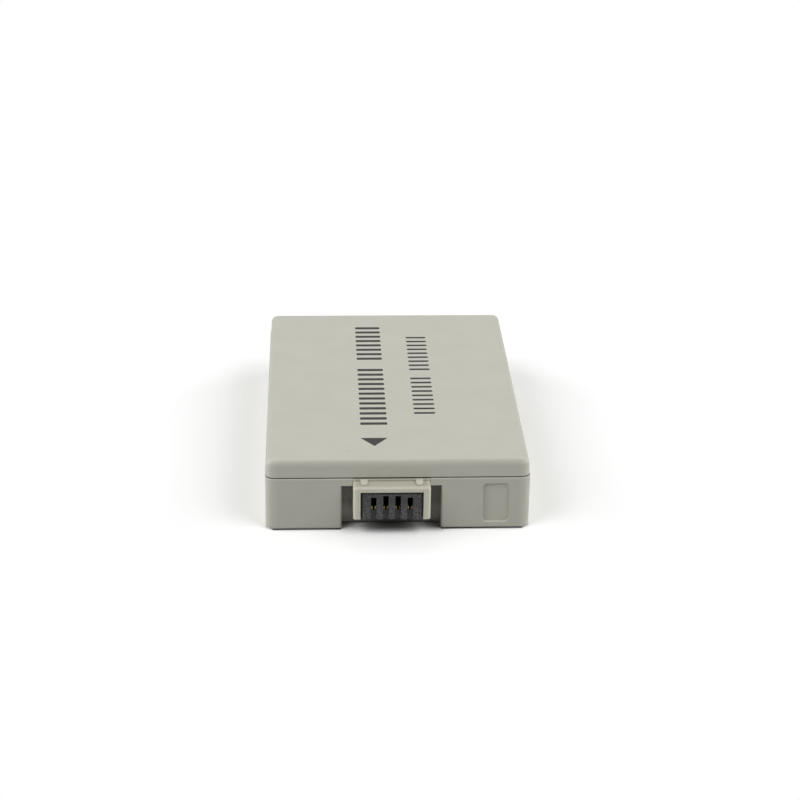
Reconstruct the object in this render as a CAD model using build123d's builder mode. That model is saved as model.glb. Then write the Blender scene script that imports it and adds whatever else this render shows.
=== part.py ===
from build123d import *

import os

# A slim two-cell camera battery, lying flat with its terminals towards -Y.
# The origin is at the middle of its underside, +Z is up, sizes are millimetres.

# Moulded case
WIDTH = 36.2
BODY_LENGTH = 51.2
HEIGHT = 10.33
COVER_DEPTH = 2.44
COVER_INSET = 0.1
COVER_DRAFT = 3.0
WALL = 1.0
FLOOR = 0.9
COVER_SKIN = 0.9
CORNER_RADIUS = 1.2
HOLLOW_RADIUS = 0.5
COVER_EDGE_RADIUS = 0.85
BASE_EDGE_RADIUS = 0.5
SEAM_GAP = 0.1
SEAM_CHAMFER = 0.12
COVER_CHAMFER = 0.04
LIP_DEPTH = 0.9
LIP_THICKNESS = 0.45
LIP_END_GAP = 0.2
FIT_CLEARANCE = 0.05

# Shallow panel in the front wall, measured from the right side, the base and the seam
PANEL_WIDTH = 3.43
PANEL_SIDE_MARGIN = 3.0
PANEL_BASE_MARGIN = 1.13
PANEL_SEAM_MARGIN = 1.0
PANEL_DEPTH = 0.25
PANEL_RADIUS = 0.55
PANEL_EDGE_RADIUS = 0.2

# Notch in the front wall, where the connector stands
CONNECTOR_X = -0.9
NOTCH_WIDTH = 13.6
NOTCH_DEPTH = 2.0
NOTCH_DROP = 1.1
NOTCH_EDGE_RADIUS = 0.35
POCKET_WALL = 0.9

# Inverted-U frame round the contacts, with two tongues on its top
CONNECTOR_REACH = 2.0
FRAME_WIDTH = 10.5
FRAME_DROP = 0.36
FRAME_HEIGHT = 4.95
LEG_THICKNESS = 0.97
BAR_THICKNESS = 0.76
FRAME_EDGE_RADIUS = 0.36
FRAME_FOOT_RADIUS = 0.15
FRAME_FLANGE_THICKNESS = 0.7
FRAME_FLANGE_MARGIN = 0.9
CROWN_DROP = 0.06
CROWN_RELIEF_WIDTH = 0.14
CROWN_RELIEF_DEPTH = 0.2
TONGUE_ROOT_WIDTH = 1.1
TONGUE_TIP_RADIUS = 0.46
TONGUE_REACH = 1.5
TONGUE_SPACING = 7.53
TONGUE_EDGE_RADIUS = 0.1

# Slotted block that holds the contacts
BLOCK_CLEARANCE = 0.24
BLOCK_HEAD_GAP = 0.3
BLOCK_RECESS = 0.15
BLOCK_EDGE_CHAMFER = 0.1
BLOCK_SHOULDER_SETBACK = 0.6
BLOCK_FLANGE_THICKNESS = 0.8
BLOCK_FLANGE_MARGIN = 0.8
SLOT_PITCH = 1.655
SLOT_WIDTH = 0.75
SLOT_DEPTH = 5.0
SLOT_HEAD = 0.3
OUTER_SLOT_DROP = 0.25
SILL_HEIGHT = 1.22
GROOVE_DEPTH = 0.55

# Fork contacts, bent from sheet
CONTACT_NAMES = ["positive_contact", "temperature_contact", "identity_contact", "negative_contact"]
CONTACT_SHEET = 0.16
CONTACT_HEIGHT = 0.5
CONTACT_SETBACK = 0.65
CONTACT_PINCH = 0.07
PINCH_SETBACK = 0.45
TAIL_SIZE = 0.4
TAIL_CLEARANCE = 0.05
TAIL_LENGTH = 0.5

# Circuit board, between ribs on the side walls
BOARD_THICKNESS = 0.8
BOARD_SIDE_GAP = 0.1
BOARD_TOP_GAP = 0.1
BOARD_FIT = 0.05
BOARD_CORNER_RADIUS = 0.4
TAIL_HOLE_RADIUS = 0.35
RIB_REACH = 1.2
RIB_THICKNESS = 0.8
SOLDER_BASE_RADIUS = 0.6
SOLDER_TIP_RADIUS = 0.34
SOLDER_HEIGHT = 0.4

# Parts on the front of the board
PART_SPACING = 0.6
PART_EDGE_GAP = 1.0
CHIP_BODY_WIDTH = 2.9
CHIP_BODY_HEIGHT = 1.6
CHIP_THICKNESS = 1.0
CHIP_LEGS = 3
SWITCH_BODY_WIDTH = 3.0
SWITCH_BODY_HEIGHT = 4.4
SWITCH_LEGS = 4
LEG_PITCH = 0.68
LEG_WIDTH = 0.3
LEG_SHEET = 0.15
LEG_REACH = 0.7
CHIP_STANDOFF = 0.1
FUSE_WIDTH = 1.6
FUSE_HEIGHT = 3.2
FUSE_THICKNESS = 0.6
CHIP_PART_WIDTH = 0.8
CHIP_PART_HEIGHT = 1.6
CHIP_PART_THICKNESS = 0.45
CHIP_PART_STEP = 2.2
END_CAP_LENGTH = 0.3
END_CAP_STEP = 0.04

# Cells, one lying on the other
TAB_SPACE = 2.4
CELL_SIDE_GAP = 0.2
CELL_TOP_GAP = 0.05
CELL_EDGE_RADIUS = 1.2
CELL_LID_CHAMFER = 0.2
CELL_TAIL_RADIUS = 0.5
TAPE_THICKNESS = 0.15
TAPE_MARGIN = 3.0
SEPARATOR_THICKNESS = 0.15
SEPARATOR_MARGIN = 1.5
FOAM_THICKNESS = 0.5
FOAM_MARGIN = 1.5
GASKET_WIDTH = 6.0
GASKET_HEIGHT = 2.6
GASKET_THICKNESS = 0.2
GASKET_RADIUS = 0.5
TERMINAL_WIDTH = 4.0
TERMINAL_HEIGHT = 1.8
TERMINAL_THICKNESS = 0.42
TERMINAL_RADIUS = 0.4
TERMINAL_CHAMFER = 0.1

# Strips between the cells and the board, and the card over the ends of the cells
TAB_SHEET = 0.12
TAB_WIDTH = 2.4
TAB_FOOT = 2.6
TAB_OVERLAP = 1.5
POSITIVE_TAB_MARGIN = 8.3
NEGATIVE_TAB_GAP = 2.0
LINK_MARGIN = 3.2
LINK_WIDTH = 3.0
CARD_THICKNESS = 0.15
CARD_MARGIN = 0.3
CARD_WINDOW_GAP = 0.3

# Places along the battery, from the connector's tip to the tail
overall_length = BODY_LENGTH + CONNECTOR_REACH
tip_y = -overall_length / 2
front_y = tip_y + CONNECTOR_REACH
tail_y = overall_length / 2
middle_y = (front_y + tail_y) / 2
pocket_y = front_y + NOTCH_DEPTH + POCKET_WALL
frame_back_y = pocket_y + FRAME_FLANGE_THICKNESS
board_y = frame_back_y + BLOCK_FLANGE_THICKNESS
board_back_y = board_y + BOARD_THICKNESS
cell_y = board_back_y + TAB_SPACE
cell_back_y = tail_y - WALL - FOAM_THICKNESS
cell_length = cell_back_y - cell_y
cell_middle_y = (cell_y + cell_back_y) / 2
block_y = tip_y + BLOCK_RECESS
shoulder_y = block_y + BLOCK_SHOULDER_SETBACK
slot_end_y = block_y + SLOT_DEPTH
gasket_y = cell_y - GASKET_THICKNESS
terminal_y = gasket_y - TERMINAL_THICKNESS

# Heights
seam_z = HEIGHT - COVER_DEPTH
cover_z = seam_z + SEAM_GAP
crown_z = seam_z - CROWN_DROP
rebate_z = seam_z - LIP_DEPTH
ceiling_z = HEIGHT - COVER_SKIN
notch_top_z = seam_z - NOTCH_DROP
frame_top_z = seam_z - FRAME_DROP
relief_z = frame_top_z - CROWN_RELIEF_DEPTH
frame_base_z = frame_top_z - FRAME_HEIGHT
opening_top_z = frame_top_z - BAR_THICKNESS
block_top_z = opening_top_z - BLOCK_HEAD_GAP
sill_z = frame_base_z + SILL_HEIGHT
contact_z = sill_z + CONTACT_HEIGHT / 2
lower_cell_base_z = FLOOR + TAPE_THICKNESS
cells_top_z = ceiling_z - CELL_TOP_GAP
cell_thickness = (cells_top_z - lower_cell_base_z - SEPARATOR_THICKNESS) / 2
separator_z = lower_cell_base_z + cell_thickness
lower_cell_z = lower_cell_base_z + cell_thickness / 2
upper_cell_z = cells_top_z - cell_thickness / 2
board_top_z = ceiling_z - BOARD_TOP_GAP
board_middle_z = (FLOOR + board_top_z) / 2

# Widths
hollow_width = WIDTH - 2 * WALL
hollow_length = BODY_LENGTH - 2 * WALL
lip_overhang = 2 * LIP_THICKNESS
rebate_overhang = lip_overhang + 2 * FIT_CLEARANCE
pocket_width = NOTCH_WIDTH + 2 * POCKET_WALL
frame_opening_width = FRAME_WIDTH - 2 * LEG_THICKNESS
frame_flange_width = FRAME_WIDTH + 2 * FRAME_FLANGE_MARGIN
block_width = frame_opening_width - 2 * BLOCK_CLEARANCE
block_flange_width = block_width + 2 * BLOCK_FLANGE_MARGIN
board_width = hollow_width - 2 * BOARD_SIDE_GAP
cell_width = hollow_width - 2 * CELL_SIDE_GAP
last_slot = len(CONTACT_NAMES) - 1
slot_xs = [CONNECTOR_X + SLOT_PITCH * (index - last_slot / 2) for index in range(last_slot + 1)]
right_zone_x = CONNECTOR_X + frame_flange_width / 2 + PART_SPACING
left_zone_x = CONNECTOR_X - frame_flange_width / 2 - PART_SPACING

TAILWARD = (0, 1, 0)
FRONTWARD = (0, -1, 0)
STANDING = (Align.CENTER, Align.MIN)


def upright(y):
    """Sketch plane across the battery: its sketch axes are X and Z."""
    return Plane.XZ.offset(-y)


def plan(z):
    """Level sketch plane at a height above the base."""
    return Plane.XY.offset(z)


os.makedirs("parts", exist_ok=True)

# Tray, with the connector's pocket and the ribs for the board
with BuildPart() as bottom_case:
    with BuildSketch():
        with Locations((0, middle_y)):
            RectangleRounded(WIDTH, BODY_LENGTH, CORNER_RADIUS)
    extrude(amount=seam_z)
    fillet(bottom_case.faces().sort_by(Axis.Z)[0].edges(), BASE_EDGE_RADIUS)
    chamfer(bottom_case.faces().sort_by(Axis.Z)[-1].edges(), SEAM_CHAMFER)
    with BuildSketch(plan(FLOOR)):
        with Locations((0, middle_y)):
            RectangleRounded(hollow_width, hollow_length, HOLLOW_RADIUS)
    extrude(amount=seam_z, mode=Mode.SUBTRACT)
    with BuildSketch(plan(rebate_z)):
        with Locations((0, middle_y)):
            RectangleRounded(
                hollow_width + rebate_overhang,
                hollow_length + rebate_overhang,
                HOLLOW_RADIUS,
            )
    extrude(amount=seam_z, mode=Mode.SUBTRACT)
    with BuildSketch(upright(front_y + SEAM_CHAMFER)):
        with Locations((CONNECTOR_X, FLOOR / 2)):
            Rectangle(pocket_width, seam_z - FLOOR / 2, align=STANDING)
    extrude(amount=pocket_y - front_y - SEAM_CHAMFER, dir=TAILWARD)
    with BuildSketch(upright(front_y)):
        with Locations((CONNECTOR_X, 0)):
            Rectangle(NOTCH_WIDTH, notch_top_z, align=STANDING)
    extrude(amount=NOTCH_DEPTH, dir=TAILWARD, mode=Mode.SUBTRACT)
    with BuildSketch(upright(front_y)):
        with Locations((CONNECTOR_X, frame_base_z)):
            Rectangle(FRAME_WIDTH + 2 * FIT_CLEARANCE, seam_z, align=STANDING)
    extrude(amount=pocket_y - front_y, dir=TAILWARD, mode=Mode.SUBTRACT)
    notch_edges = (
        bottom_case.edges()
        .filter_by(Axis.Z)
        .filter_by_position(Axis.Y, front_y, front_y)
        .filter_by_position(Axis.Z, 0, notch_top_z)
    )
    fillet(notch_edges, NOTCH_EDGE_RADIUS)
    rib_spans = [
        (board_y - BOARD_FIT - RIB_THICKNESS, board_y - BOARD_FIT),
        (board_back_y + BOARD_FIT, cell_y),
    ]
    for start_y, end_y in rib_spans:
        with BuildSketch(plan(FLOOR)):
            for side in (-1, 1):
                with Locations((side * (hollow_width - RIB_REACH) / 2, (start_y + end_y) / 2)):
                    Rectangle(RIB_REACH, end_y - start_y)
        extrude(amount=rebate_z - FLOOR)
    panel_x = WIDTH / 2 - PANEL_SIDE_MARGIN - PANEL_WIDTH / 2
    panel_height = seam_z - PANEL_BASE_MARGIN - PANEL_SEAM_MARGIN
    with BuildSketch(upright(front_y)):
        with Locations((panel_x, PANEL_BASE_MARGIN + panel_height / 2)):
            RectangleRounded(PANEL_WIDTH, panel_height, PANEL_RADIUS)
    extrude(amount=PANEL_DEPTH, dir=TAILWARD, mode=Mode.SUBTRACT)
    panel_edges = (
        bottom_case.edges()
        .filter_by_position(Axis.Y, front_y, front_y)
        .filter_by_position(Axis.X, panel_x - PANEL_WIDTH, panel_x + PANEL_WIDTH)
        .filter_by_position(Axis.Z, PANEL_BASE_MARGIN, PANEL_BASE_MARGIN + panel_height)
    )
    fillet(panel_edges, PANEL_EDGE_RADIUS)
bottom_case.part.label = "bottom_case"
export_step(bottom_case.part, "parts/bottom_case.step")

# Cover: a little smaller than the tray, with drafted sides and a lip that stands in the tray's rebate
with BuildPart() as top_cover:
    with BuildSketch(plan(cover_z)):
        with Locations((0, middle_y)):
            RectangleRounded(WIDTH - 2 * COVER_INSET, BODY_LENGTH - 2 * COVER_INSET, CORNER_RADIUS)
    extrude(amount=HEIGHT - cover_z, taper=COVER_DRAFT)
    fillet(top_cover.faces().sort_by(Axis.Z)[-1].edges(), COVER_EDGE_RADIUS)
    chamfer(top_cover.faces().sort_by(Axis.Z)[0].edges(), COVER_CHAMFER)
    with BuildSketch(plan(rebate_z)):
        with Locations((0, middle_y)):
            RectangleRounded(
                hollow_width + lip_overhang,
                hollow_length + lip_overhang,
                HOLLOW_RADIUS,
            )
    extrude(amount=ceiling_z - rebate_z)
    with BuildSketch(plan(rebate_z)):
        with Locations((0, middle_y)):
            RectangleRounded(hollow_width, hollow_length, HOLLOW_RADIUS)
    extrude(amount=ceiling_z - rebate_z, mode=Mode.SUBTRACT)
    with BuildSketch(plan(rebate_z)):
        with Locations((CONNECTOR_X, front_y)):
            Rectangle(pocket_width + 2 * LIP_END_GAP, 2 * WALL, align=STANDING)
    extrude(amount=cover_z - rebate_z, mode=Mode.SUBTRACT)
top_cover.part.label = "top_cover"
export_step(top_cover.part, "parts/top_cover.step")

# Frame: an inverted U that drops into the pocket, with a crown up to the seam, a relief
# along the crown's foot and tongues out of it
with BuildPart() as terminal_frame:
    with BuildSketch(upright(tip_y)):
        with Locations((CONNECTOR_X, frame_base_z)):
            Rectangle(FRAME_WIDTH, FRAME_HEIGHT, align=STANDING)
    extrude(amount=pocket_y - tip_y, dir=TAILWARD)
    corner_edges = terminal_frame.edges().filter_by(Axis.Z).group_by(Axis.Y)[0]
    top_edges = terminal_frame.faces().sort_by(Axis.Z)[-1].edges().sort_by(Axis.Y)[:-1]
    fillet(corner_edges + top_edges, FRAME_EDGE_RADIUS)
    foot_edges = terminal_frame.faces().sort_by(Axis.Z)[0].edges().sort_by(Axis.Y)[:-1]
    fillet(foot_edges, FRAME_FOOT_RADIUS)
    with BuildSketch(upright(front_y)):
        with Locations((CONNECTOR_X, frame_top_z - FRAME_EDGE_RADIUS)):
            Rectangle(FRAME_WIDTH, crown_z - frame_top_z + FRAME_EDGE_RADIUS, align=STANDING)
    extrude(amount=pocket_y - front_y, dir=TAILWARD)
    with BuildSketch(plan(relief_z)):
        with Locations((CONNECTOR_X, front_y - CROWN_RELIEF_WIDTH)):
            Rectangle(FRAME_WIDTH, CROWN_RELIEF_WIDTH, align=STANDING)
    extrude(amount=CROWN_RELIEF_DEPTH, mode=Mode.SUBTRACT)
    for side in (-1, 1):
        tongue_x = CONNECTOR_X + side * TONGUE_SPACING / 2
        with BuildSketch(plan(relief_z)):
            with Locations((tongue_x, front_y)):
                Rectangle(TONGUE_ROOT_WIDTH, NOTCH_DEPTH, align=STANDING)
            with Locations((tongue_x, front_y - TONGUE_REACH + TONGUE_TIP_RADIUS)):
                Circle(TONGUE_TIP_RADIUS)
            make_hull()
        extrude(amount=crown_z - relief_z)
    rim_edges = (
        terminal_frame.edges()
        .filter_by_position(Axis.Z, crown_z, crown_z)
        .filter_by_position(Axis.Y, tip_y, front_y)
    )
    fillet(rim_edges, TONGUE_EDGE_RADIUS)
    with BuildSketch(upright(pocket_y)):
        with Locations((CONNECTOR_X, frame_base_z)):
            Rectangle(frame_flange_width, crown_z - frame_base_z, align=STANDING)
    extrude(amount=FRAME_FLANGE_THICKNESS, dir=TAILWARD)
    with BuildSketch(upright(tip_y)):
        with Locations((CONNECTOR_X, frame_base_z)):
            Rectangle(frame_opening_width, opening_top_z - frame_base_z, align=STANDING)
    extrude(amount=frame_back_y - tip_y, dir=TAILWARD, mode=Mode.SUBTRACT)
terminal_frame.part.label = "terminal_frame"
export_step(terminal_frame.part, "parts/terminal_frame.step")

# Block: a shoulder that fills the frame, and four slots that are shallow grooves below the sill
with BuildPart() as contact_block:
    with BuildSketch(upright(block_y)):
        with Locations((CONNECTOR_X, frame_base_z)):
            Rectangle(block_width, block_top_z - frame_base_z, align=STANDING)
    extrude(amount=board_y - block_y, dir=TAILWARD)
    rim_edges = contact_block.faces().sort_by(Axis.Y)[0].edges().sort_by(Axis.Z)[1:]
    chamfer(rim_edges, BLOCK_EDGE_CHAMFER)
    with BuildSketch(upright(shoulder_y)):
        with Locations((CONNECTOR_X, frame_base_z)):
            Rectangle(
                frame_opening_width - 2 * FIT_CLEARANCE,
                opening_top_z - frame_base_z - FIT_CLEARANCE,
                align=STANDING,
            )
    extrude(amount=frame_back_y - shoulder_y, dir=TAILWARD)
    with BuildSketch(upright(frame_back_y)):
        with Locations((CONNECTOR_X, frame_base_z)):
            Rectangle(block_flange_width, block_top_z - frame_base_z, align=STANDING)
    extrude(amount=BLOCK_FLANGE_THICKNESS, dir=TAILWARD)
    for index, slot_x in enumerate(slot_xs):
        is_outer = index in (0, last_slot)
        slot_top_z = block_top_z - SLOT_HEAD - (OUTER_SLOT_DROP if is_outer else 0)
        with BuildSketch(upright(block_y)):
            with Locations((slot_x, sill_z)):
                Rectangle(SLOT_WIDTH, slot_top_z - sill_z, align=STANDING)
        extrude(amount=SLOT_DEPTH, dir=TAILWARD, mode=Mode.SUBTRACT)
        with BuildSketch(upright(block_y)):
            with Locations((slot_x, frame_base_z)):
                Rectangle(SLOT_WIDTH, sill_z - frame_base_z, align=STANDING)
        extrude(amount=GROOVE_DEPTH, dir=TAILWARD, mode=Mode.SUBTRACT)
    with BuildSketch(upright(slot_end_y)):
        for slot_x in slot_xs:
            with Locations((slot_x, contact_z)):
                Rectangle(TAIL_SIZE + 2 * TAIL_CLEARANCE, TAIL_SIZE + 2 * TAIL_CLEARANCE)
    extrude(amount=board_y - slot_end_y, dir=TAILWARD, mode=Mode.SUBTRACT)
contact_block.part.label = "contact_block"
export_step(contact_block.part, "parts/contact_block.step")

# Contacts: a fork of bent sheet in each slot, with a tail through the board
prong_x = (SLOT_WIDTH - CONTACT_SHEET) / 2 - FIT_CLEARANCE
fork_tip_y = block_y + CONTACT_SETBACK
fork_pinch_y = fork_tip_y + PINCH_SETBACK
fork_base_y = slot_end_y - CONTACT_SHEET / 2
for contact_name, slot_x in zip(CONTACT_NAMES, slot_xs):
    with BuildPart() as contact:
        with BuildSketch(plan(sill_z)):
            with BuildLine():
                Polyline(
                    (slot_x - prong_x, fork_tip_y),
                    (slot_x - prong_x + CONTACT_PINCH, fork_pinch_y),
                    (slot_x - prong_x, fork_base_y),
                    (slot_x + prong_x, fork_base_y),
                    (slot_x + prong_x - CONTACT_PINCH, fork_pinch_y),
                    (slot_x + prong_x, fork_tip_y),
                )
            trace(line_width=CONTACT_SHEET)
        extrude(amount=CONTACT_HEIGHT)
        with BuildSketch(upright(fork_base_y)):
            with Locations((slot_x, contact_z)):
                Rectangle(TAIL_SIZE, TAIL_SIZE)
        extrude(amount=board_back_y + TAIL_LENGTH - fork_base_y, dir=TAILWARD)
    contact.part.label = contact_name
    export_step(contact.part, f"parts/{contact_name}.step")

# Board, upright behind the connector
with BuildPart() as circuit_board:
    with BuildSketch(upright(board_y)):
        with Locations((0, board_middle_z)):
            RectangleRounded(board_width, board_top_z - FLOOR, BOARD_CORNER_RADIUS)
        for slot_x in slot_xs:
            with Locations((slot_x, contact_z)):
                Circle(TAIL_HOLE_RADIUS, mode=Mode.SUBTRACT)
    extrude(amount=BOARD_THICKNESS, dir=TAILWARD)
circuit_board.part.label = "circuit_board"
export_step(circuit_board.part, "parts/circuit_board.step")

# Solder round each tail, on the back of the board
with BuildPart() as solder_joints:
    for slot_x in slot_xs:
        with BuildSketch(upright(board_back_y)):
            with Locations((slot_x, contact_z)):
                Circle(SOLDER_BASE_RADIUS)
        with BuildSketch(upright(board_back_y + SOLDER_HEIGHT)):
            with Locations((slot_x, contact_z)):
                Circle(SOLDER_TIP_RADIUS)
        loft()
    with BuildSketch(upright(board_back_y)):
        for slot_x in slot_xs:
            with Locations((slot_x, contact_z)):
                Rectangle(TAIL_SIZE, TAIL_SIZE)
    extrude(amount=SOLDER_HEIGHT, dir=TAILWARD, mode=Mode.SUBTRACT)
solder_joints.part.label = "solder_joints"
export_step(solder_joints.part, "parts/solder_joints.step")


def packaged_chip(x, body_width, body_height, leg_count):
    """Chip on the front of the board: a moulded body with bent legs above and below."""
    body_front_y = board_y - CHIP_STANDOFF - CHIP_THICKNESS
    leg_y = board_y - CHIP_STANDOFF - CHIP_THICKNESS / 2
    with BuildPart() as chip:
        with BuildSketch(upright(body_front_y)):
            with Locations((x, board_middle_z)):
                Rectangle(body_width, body_height)
        extrude(amount=CHIP_THICKNESS, dir=TAILWARD)
        for leg_index in range(leg_count):
            leg_x = x + (leg_index - (leg_count - 1) / 2) * LEG_PITCH
            for side in (-1, 1):
                root_z = board_middle_z + side * body_height / 2
                with BuildSketch(Plane.YZ.offset(leg_x - LEG_WIDTH / 2)):
                    with BuildLine():
                        Polyline(
                            (leg_y, root_z - side * LEG_SHEET),
                            (leg_y, root_z + side * LEG_REACH / 2),
                            (board_y - LEG_SHEET / 2, root_z + side * LEG_REACH / 2),
                            (board_y - LEG_SHEET / 2, root_z + side * LEG_REACH),
                        )
                    trace(line_width=LEG_SHEET)
                extrude(amount=LEG_WIDTH)
    return chip


def end_capped_chip(x, z, width, height, thickness):
    """Small chip part: a body with a slightly thicker metal cap at each end."""
    with BuildPart() as chip:
        with BuildSketch(upright(board_y)):
            with Locations((x, z)):
                Rectangle(width - 2 * END_CAP_STEP, height)
        extrude(amount=thickness - END_CAP_STEP, dir=FRONTWARD)
        with BuildSketch(upright(board_y)):
            for side in (-1, 1):
                with Locations((x, z + side * (height - END_CAP_LENGTH) / 2)):
                    Rectangle(width, END_CAP_LENGTH)
        extrude(amount=thickness, dir=FRONTWARD)
    return chip


def small_chip(x, row):
    """One of the smallest chip parts, in a row above or below the middle of the board."""
    chip_z = board_middle_z + row * CHIP_PART_STEP
    return end_capped_chip(x, chip_z, CHIP_PART_WIDTH, CHIP_PART_HEIGHT, CHIP_PART_THICKNESS)


# Parts on the front of the board, right of the connector; the smallest stand near the board's end
chip_x = right_zone_x + CHIP_BODY_WIDTH / 2
fuse_x = chip_x + CHIP_BODY_WIDTH / 2 + PART_SPACING + FUSE_WIDTH / 2
thermistor_x = hollow_width / 2 - RIB_REACH - PART_EDGE_GAP - CHIP_PART_WIDTH / 2

protection_chip = packaged_chip(chip_x, CHIP_BODY_WIDTH, CHIP_BODY_HEIGHT, CHIP_LEGS)
protection_chip.part.label = "protection_chip"
export_step(protection_chip.part, "parts/protection_chip.step")

chip_fuse = end_capped_chip(fuse_x, board_middle_z, FUSE_WIDTH, FUSE_HEIGHT, FUSE_THICKNESS)
chip_fuse.part.label = "chip_fuse"
export_step(chip_fuse.part, "parts/chip_fuse.step")

thermistor = small_chip(thermistor_x, 0)
thermistor.part.label = "thermistor"
export_step(thermistor.part, "parts/thermistor.step")

capacitors = [small_chip(thermistor_x, row) for row in (-1, 1)]
with BuildPart() as chip_capacitors:
    for capacitor in capacitors:
        add(capacitor.part)
chip_capacitors.part.label = "chip_capacitors"
export_step(chip_capacitors.part, "parts/chip_capacitors.step")

# Parts on the front of the board, left of the connector
switch_x = left_zone_x - SWITCH_BODY_WIDTH / 2
resistor_x = -thermistor_x

switch_transistors = packaged_chip(switch_x, SWITCH_BODY_WIDTH, SWITCH_BODY_HEIGHT, SWITCH_LEGS)
switch_transistors.part.label = "switch_transistors"
export_step(switch_transistors.part, "parts/switch_transistors.step")

resistors = [small_chip(resistor_x, row) for row in (-1, 0, 1)]
with BuildPart() as chip_resistors:
    for resistor in resistors:
        add(resistor.part)
chip_resistors.part.label = "chip_resistors"
export_step(chip_resistors.part, "parts/chip_resistors.step")

# Cells: drawn cans with rounded edges, each with a gasket and a terminal at its front
for cell_name, cell_z in (("lower_cell", lower_cell_z), ("upper_cell", upper_cell_z)):
    with BuildPart() as cell:
        with BuildSketch(upright(cell_y)):
            with Locations((0, cell_z)):
                RectangleRounded(cell_width, cell_thickness, CELL_EDGE_RADIUS)
        extrude(amount=cell_length, dir=TAILWARD)
        fillet(cell.faces().sort_by(Axis.Y)[-1].edges(), CELL_TAIL_RADIUS)
        chamfer(cell.faces().sort_by(Axis.Y)[0].edges(), CELL_LID_CHAMFER)
    cell.part.label = cell_name
    export_step(cell.part, f"parts/{cell_name}.step")

    with BuildPart() as gasket:
        with BuildSketch(upright(cell_y)):
            with Locations((0, cell_z)):
                RectangleRounded(GASKET_WIDTH, GASKET_HEIGHT, GASKET_RADIUS)
        extrude(amount=GASKET_THICKNESS, dir=FRONTWARD)
    gasket.part.label = f"{cell_name}_gasket"
    export_step(gasket.part, f"parts/{cell_name}_gasket.step")

    with BuildPart() as terminal:
        with BuildSketch(upright(gasket_y)):
            with Locations((0, cell_z)):
                RectangleRounded(TERMINAL_WIDTH, TERMINAL_HEIGHT, TERMINAL_RADIUS)
        extrude(amount=TERMINAL_THICKNESS, dir=FRONTWARD)
        chamfer(terminal.faces().sort_by(Axis.Y)[0].edges(), TERMINAL_CHAMFER)
    terminal.part.label = f"{cell_name}_terminal"
    export_step(terminal.part, f"parts/{cell_name}_terminal.step")


def bent_strip(strip_z, *points):
    """Strip on edge, bent along points of its plan, as tall as a tab is wide."""
    with BuildPart() as strip:
        with BuildSketch(plan(strip_z - TAB_WIDTH / 2)):
            with BuildLine():
                Polyline(*points)
            trace(line_width=TAB_SHEET)
        extrude(amount=TAB_WIDTH)
    return strip


# Planes of the strips' middle lines on the board, the cans' lids and the terminals
strip_board_y = board_back_y + TAB_SHEET / 2
strip_lid_y = cell_y - TAB_SHEET / 2
strip_terminal_y = terminal_y - TAB_SHEET / 2

# Positive strip, from the lid of the upper can
positive_tab_x = POSITIVE_TAB_MARGIN - cell_width / 2
positive_tab = bent_strip(
    upper_cell_z,
    (positive_tab_x - TAB_FOOT, strip_board_y),
    (positive_tab_x, strip_board_y),
    (positive_tab_x, strip_lid_y),
    (positive_tab_x + TAB_FOOT, strip_lid_y),
)
positive_tab.part.label = "positive_tab"
export_step(positive_tab.part, "parts/positive_tab.step")

# Negative strip, from the terminal of the lower cell
negative_tab_x = slot_xs[0] - NEGATIVE_TAB_GAP
negative_tab = bent_strip(
    lower_cell_z,
    (TAB_OVERLAP, strip_terminal_y),
    (negative_tab_x, strip_terminal_y),
    (negative_tab_x, strip_board_y),
    (negative_tab_x - TAB_FOOT, strip_board_y),
)
negative_tab.part.label = "negative_tab"
export_step(negative_tab.part, "parts/negative_tab.step")

# Link from the upper terminal down to the lower can, with a foot on the board
link_right_x = cell_width / 2 - LINK_MARGIN - TAB_FOOT
link_left_x = link_right_x - LINK_WIDTH
link_edge_x = link_right_x - TAB_SHEET / 2
tap_edge_x = link_left_x + TAB_SHEET / 2
can_foot = bent_strip(
    lower_cell_z,
    (link_edge_x, strip_terminal_y),
    (link_edge_x, strip_lid_y),
    (link_right_x + TAB_FOOT, strip_lid_y),
)
board_foot = bent_strip(
    lower_cell_z,
    (tap_edge_x, strip_terminal_y),
    (tap_edge_x, strip_board_y),
    (link_left_x - TAB_FOOT, strip_board_y),
)
with BuildPart() as series_link:
    with BuildSketch(upright(terminal_y)):
        with Locations((link_right_x, upper_cell_z)):
            Rectangle(link_right_x + TAB_OVERLAP, TAB_WIDTH, align=(Align.MAX, Align.CENTER))
        with Locations((link_right_x, lower_cell_z - TAB_WIDTH / 2)):
            Rectangle(LINK_WIDTH, upper_cell_z - lower_cell_z + TAB_WIDTH, align=(Align.MAX, Align.MIN))
    extrude(amount=TAB_SHEET, dir=FRONTWARD)
    add(can_foot.part)
    add(board_foot.part)
series_link.part.label = "series_link"
export_step(series_link.part, "parts/series_link.step")

# Card over the front of both cans, with windows for the gaskets and the welded feet
card_width = hollow_width - 2 * RIB_REACH - 2 * CARD_MARGIN
card_height = cells_top_z - lower_cell_base_z - 2 * CARD_MARGIN
weld_windows = [
    (positive_tab_x + TAB_FOOT / 2, upper_cell_z),
    (link_right_x + TAB_FOOT / 2, lower_cell_z),
]
with BuildPart() as end_insulator:
    with BuildSketch(upright(cell_y)):
        with Locations((0, (lower_cell_base_z + cells_top_z) / 2)):
            Rectangle(card_width, card_height)
        with Locations((0, lower_cell_z), (0, upper_cell_z)):
            Rectangle(
                GASKET_WIDTH + 2 * CARD_WINDOW_GAP,
                GASKET_HEIGHT + 2 * CARD_WINDOW_GAP,
                mode=Mode.SUBTRACT,
            )
        with Locations(*weld_windows):
            Rectangle(
                TAB_FOOT + TAB_SHEET + 2 * CARD_WINDOW_GAP,
                TAB_WIDTH + 2 * CARD_WINDOW_GAP,
                mode=Mode.SUBTRACT,
            )
    extrude(amount=CARD_THICKNESS, dir=FRONTWARD)
end_insulator.part.label = "end_insulator"
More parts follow.
